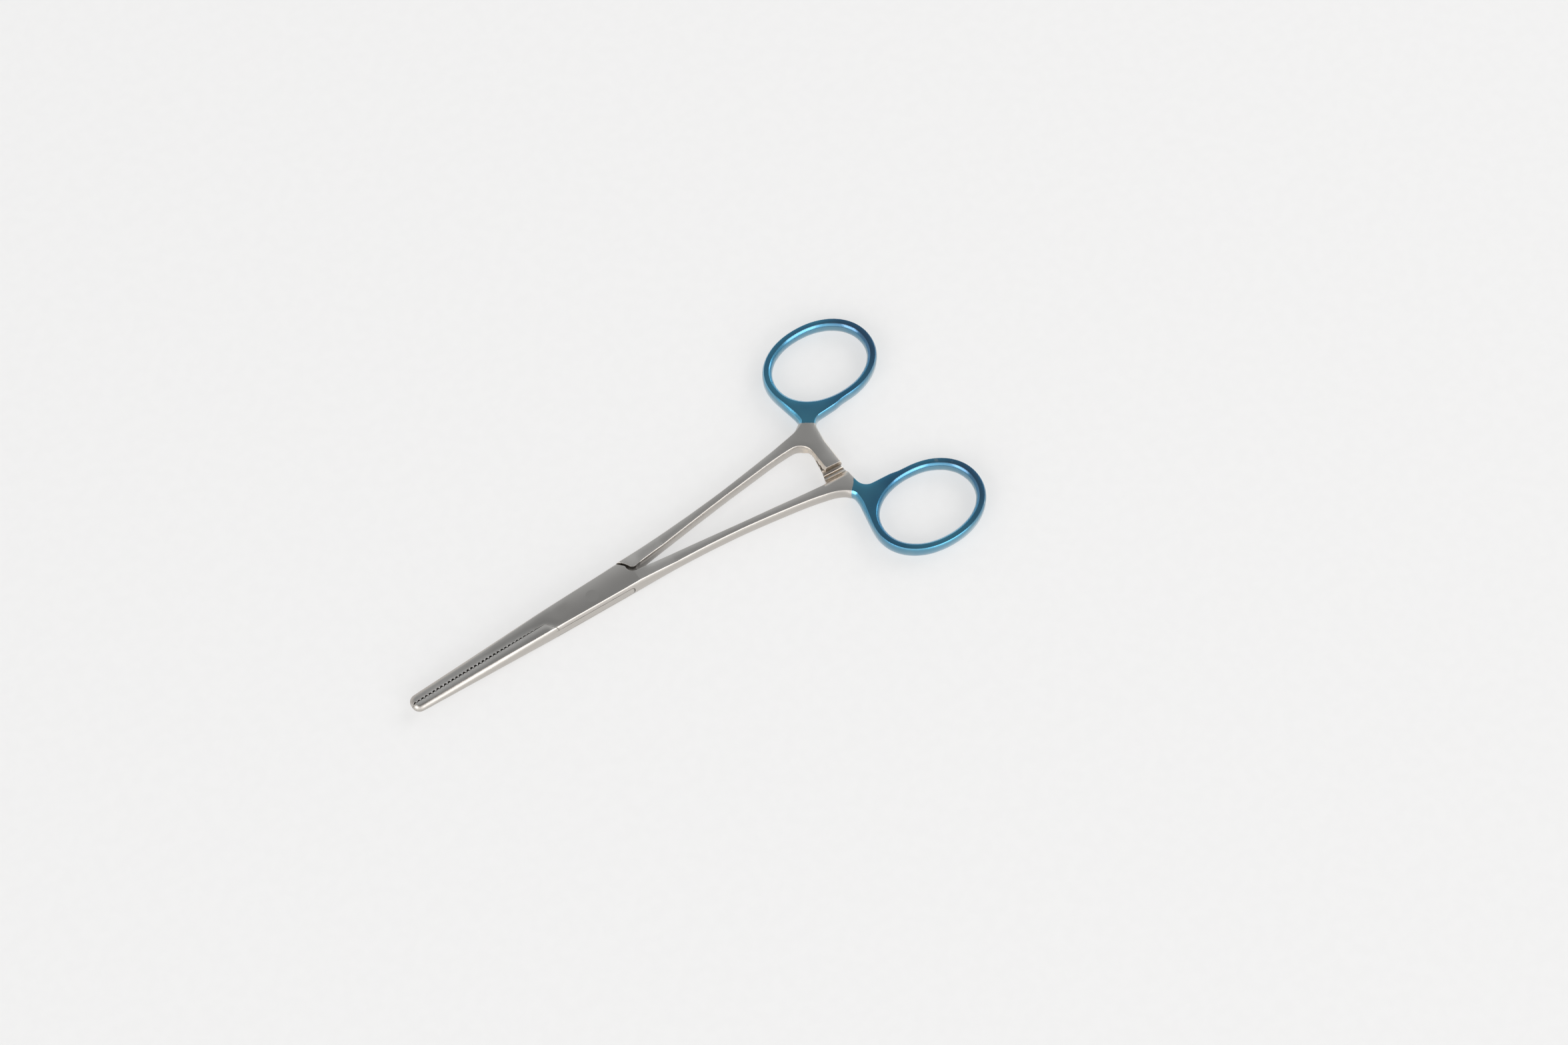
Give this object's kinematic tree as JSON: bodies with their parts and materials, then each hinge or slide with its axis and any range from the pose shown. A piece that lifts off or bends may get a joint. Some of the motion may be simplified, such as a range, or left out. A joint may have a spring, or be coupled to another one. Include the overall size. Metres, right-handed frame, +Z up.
{
  "type": "hemostat forceps",
  "caption": "Straight artery forceps with finger rings, a ratchet between the handles, a box lock and toothed jaws; brushed steel, rings coated dark blue.",
  "frame": {"origin": "on the axis of the lock's pin, at the underside of the box, which the forceps lie on", "axes": "+X from the pin towards the finger rings along the line where the closed jaws meet, +Y towards the ring of the tenon half, +Z up"},
  "size_m": [0.1477, 0.0708, 0.005],
  "materials": {
    "steel": "satin ground flats, polished sides"
  },
  "bodies": {
    "box_side": {"box_half": "steel", "pivot_pin": "steel"},
    "tenon_side": {"tenon_half": "steel"}
  },
  "joints": [
    {"name": "lock_hinge", "type": "hinge", "parent": "box_side", "child": "tenon_side", "pos_m": [0, 0, 0], "axis": [0, 0, 1], "range_deg": [0, 60]}
  ]
}
